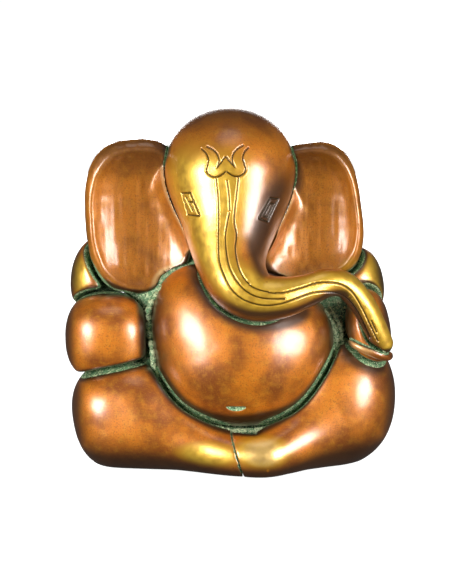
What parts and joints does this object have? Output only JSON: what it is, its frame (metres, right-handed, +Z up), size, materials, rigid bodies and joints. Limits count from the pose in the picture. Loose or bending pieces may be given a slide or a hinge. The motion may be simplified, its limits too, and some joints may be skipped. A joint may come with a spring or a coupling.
{
  "type": "ganesha idol",
  "caption": "Seated elephant-headed brass idol with broad dished ears, a round belly and a trunk that curls across to one hand; a free-standing ornament.",
  "frame": {"origin": "on the ground, at the middle of the torso's underside, on the felt pad's lower face", "axes": "+Z up; the figure faces -Y; +X is the figure's left side, where the tip of the trunk rests on the hand"},
  "size_m": [0.1385, 0.084, 0.1505],
  "materials": {
    "copper_patina": "glossy copper-brown lacquered patina",
    "gold_polish": "rubbed bright gold brass, brown towards the edges",
    "back_bronze": "dark brown patina, green in the grooves",
    "verdigris": "matt green verdigris",
    "bare_brass": "turned, dulled brass",
    "steel": "zinc-plated",
    "felt": "green wool felt"
  },
  "bodies": {
    "root": {"torso_shell": "back_bronze", "belly_bead": "verdigris", "head_with_trunk": "gold_polish", "belly": "copper_patina", "leg_left": "copper_patina", "leg_right": "copper_patina", "forearm_right": "copper_patina", "forearm_left": "copper_patina", "hand_left": "copper_patina", "ear_right": "copper_patina", "ear_left": "copper_patina", "upper_arm_right": "gold_polish", "upper_arm_left": "gold_polish", "base_plate": "bare_brass", "base_screw_1": "steel", "base_screw_2": "steel", "base_screw_3": "steel", "base_screw_4": "steel", "felt_pad": "felt"}
  },
  "joints": []
}
